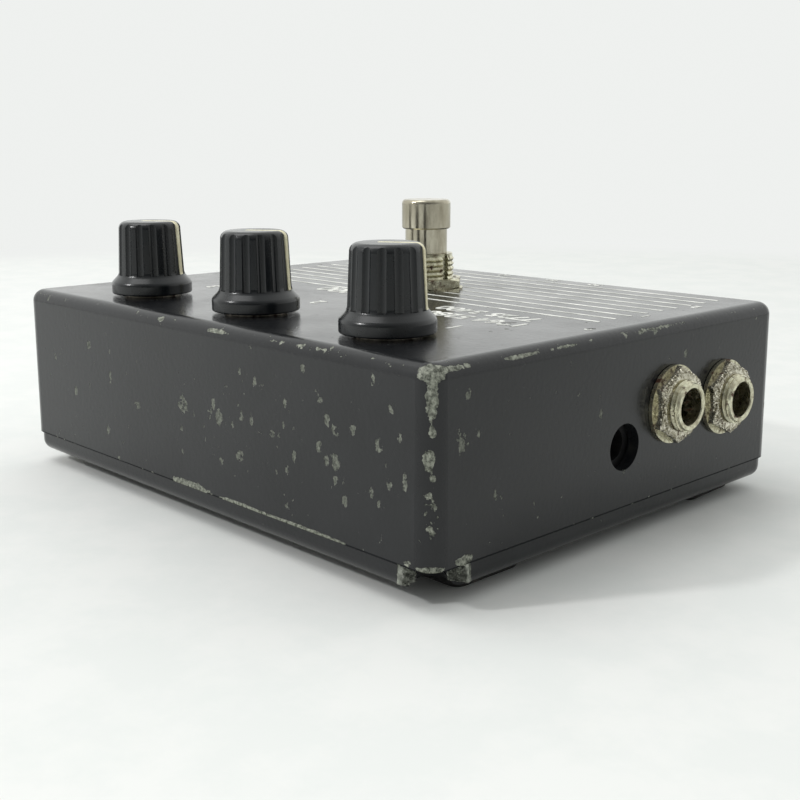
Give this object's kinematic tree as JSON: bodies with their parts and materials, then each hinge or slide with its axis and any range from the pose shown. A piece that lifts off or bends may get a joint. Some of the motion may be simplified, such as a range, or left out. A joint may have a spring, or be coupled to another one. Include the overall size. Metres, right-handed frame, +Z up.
{
  "type": "guitar effects pedal",
  "caption": "Guitar floor effects pedal: black die-cast case with a row of turning knobs, a sprung foot switch, jack sockets and a power socket, with its inner parts.",
  "frame": {"origin": "on the floor under the middle of the whole pedal, sockets included", "axes": "+Z up, +X towards the socket side along the case's length, -Y towards the knob side, +Y towards the player"},
  "size_m": [0.1236, 0.0936, 0.055],
  "materials": {
    "case_paint": "semi-gloss black paint over a die casting, chipped to the metal",
    "foot_rubber": "matt",
    "knob_plastic": "satin moulded",
    "pointer_filling": "cream filling",
    "nickel": "nickel plated brass, dulled",
    "cap_nickel": "polished nickel plate",
    "plated_steel": "zinc plated",
    "screw_steel": "zinc plated, dulled",
    "spring_steel": "drawn wire",
    "shaft_brass": "turned",
    "tinned_brass": "tinned",
    "phenolic": "laminated paper and resin",
    "switch_moulding": "moulded",
    "black_moulding": "moulded",
    "wiper_moulding": "moulded",
    "board_laminate": "lacquered laminate",
    "nylon": "moulded",
    "capacitor_sleeve": "shrunk sleeve",
    "film_box": "moulded box",
    "resistor_lacquer": "dipped",
    "battery_jacket": "lacquered steel jacket",
    "wire_sleeve": "extruded",
    "lead_sleeve": "extruded"
  },
  "bodies": {
    "case": {"enclosure_shell": "case_paint", "base_plate": "case_paint", "base_screws": "screw_steel", "foot_1": "foot_rubber", "foot_2": "foot_rubber", "foot_3": "foot_rubber", "foot_4": "foot_rubber", "pot_bushes": "shaft_brass", "pot_wafers": "phenolic", "pot_cans": "plated_steel", "pot_lugs": "tinned_brass", "pot_washers": "plated_steel", "pot_nuts": "nickel", "switch_bush": "nickel", "switch_washer": "nickel", "switch_nut": "nickel", "switch_lower_nut": "nickel", "switch_body": "switch_moulding", "switch_lugs": "tinned_brass", "plunger_spring": "spring_steel", "jack_bush_input": "nickel", "jack_bush_output": "nickel", "jack_nut_input": "nickel", "jack_nut_output": "nickel", "jack_frame_input": "plated_steel", "jack_frame_output": "plated_steel", "jack_tip_spring_input": "spring_steel", "jack_tip_spring_output": "spring_steel", "jack_washers": "nickel", "jack_wafers": "phenolic", "power_socket_body": "black_moulding", "power_socket_pin": "nickel", "power_socket_lugs": "tinned_brass", "circuit_board": "board_laminate", "board_standoffs": "nylon", "board_screws": "screw_steel", "electrolytic_capacitors": "capacitor_sleeve", "film_capacitors": "film_box", "resistors": "resistor_lacquer", "transistors": "black_moulding", "battery": "battery_jacket", "battery_clip": "plated_steel", "battery_terminals": "nickel", "battery_snap": "black_moulding", "battery_leads": "lead_sleeve", "hookup_wires": "wire_sleeve"},
    "control_1": {"knob_1": "knob_plastic", "knob_pointer_1": "pointer_filling", "pot_shaft_1": "shaft_brass", "pot_wiper_1": "wiper_moulding"},
    "control_2": {"knob_2": "knob_plastic", "knob_pointer_2": "pointer_filling", "pot_shaft_2": "shaft_brass", "pot_wiper_2": "wiper_moulding"},
    "control_3": {"knob_3": "knob_plastic", "knob_pointer_3": "pointer_filling", "pot_shaft_3": "shaft_brass", "pot_wiper_3": "wiper_moulding"},
    "foot_plunger": {"plunger_cap": "cap_nickel", "plunger_rod": "nickel"}
  },
  "joints": [
    {"name": "knob_1_turn", "type": "hinge", "parent": "case", "child": "control_1", "pos_m": [0.03389, -0.0327, 0.0367], "axis": [0, 0, 1], "range_deg": [-280, 0]},
    {"name": "knob_2_turn", "type": "hinge", "parent": "case", "child": "control_2", "pos_m": [-0.00061, -0.0327, 0.0367], "axis": [0, 0, 1], "range_deg": [-280, 0]},
    {"name": "knob_3_turn", "type": "hinge", "parent": "case", "child": "control_3", "pos_m": [-0.03511, -0.0327, 0.0367], "axis": [0, 0, 1], "range_deg": [-280, 0]},
    {"name": "foot_press", "type": "slide", "parent": "case", "child": "foot_plunger", "axis": [0, 0, -1], "range_m": [0, 0.0035], "stiffness_N_per_m": 1500, "springref_m": -0.002, "deforming": ["plunger_spring"]}
  ]
}
